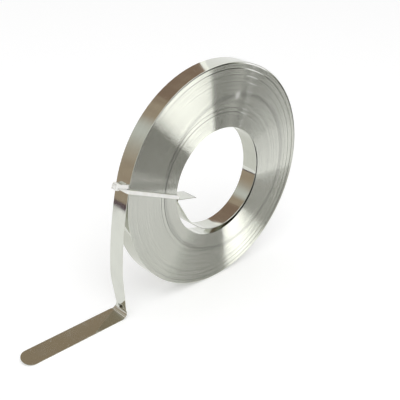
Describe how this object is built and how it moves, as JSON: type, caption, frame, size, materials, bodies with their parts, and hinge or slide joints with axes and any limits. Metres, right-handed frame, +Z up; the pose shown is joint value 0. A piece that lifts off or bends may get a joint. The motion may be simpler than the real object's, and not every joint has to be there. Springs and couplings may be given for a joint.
{
  "type": "coil of stainless steel strapping",
  "caption": "Coil of bright stainless steel strapping standing on its rim, tied with a white cable tie, its rounded outer end folded out along the floor and its first turn loose in the bore.",
  "frame": {"origin": "bottom centre of the part's box, on the floor that the coil's rim and the folded outer end rest on", "axes": "+Z up, +Y along the coil's axis to its back end, -X towards the tip of the folded outer end"},
  "size_m": [0.239, 0.0152, 0.1588],
  "materials": {
    "bright_stainless": "bright rolled",
    "white_nylon": "satin"
  },
  "bodies": {
    "root": {"strap_coil": "bright_stainless", "cable_tie": "white_nylon"}
  },
  "joints": []
}
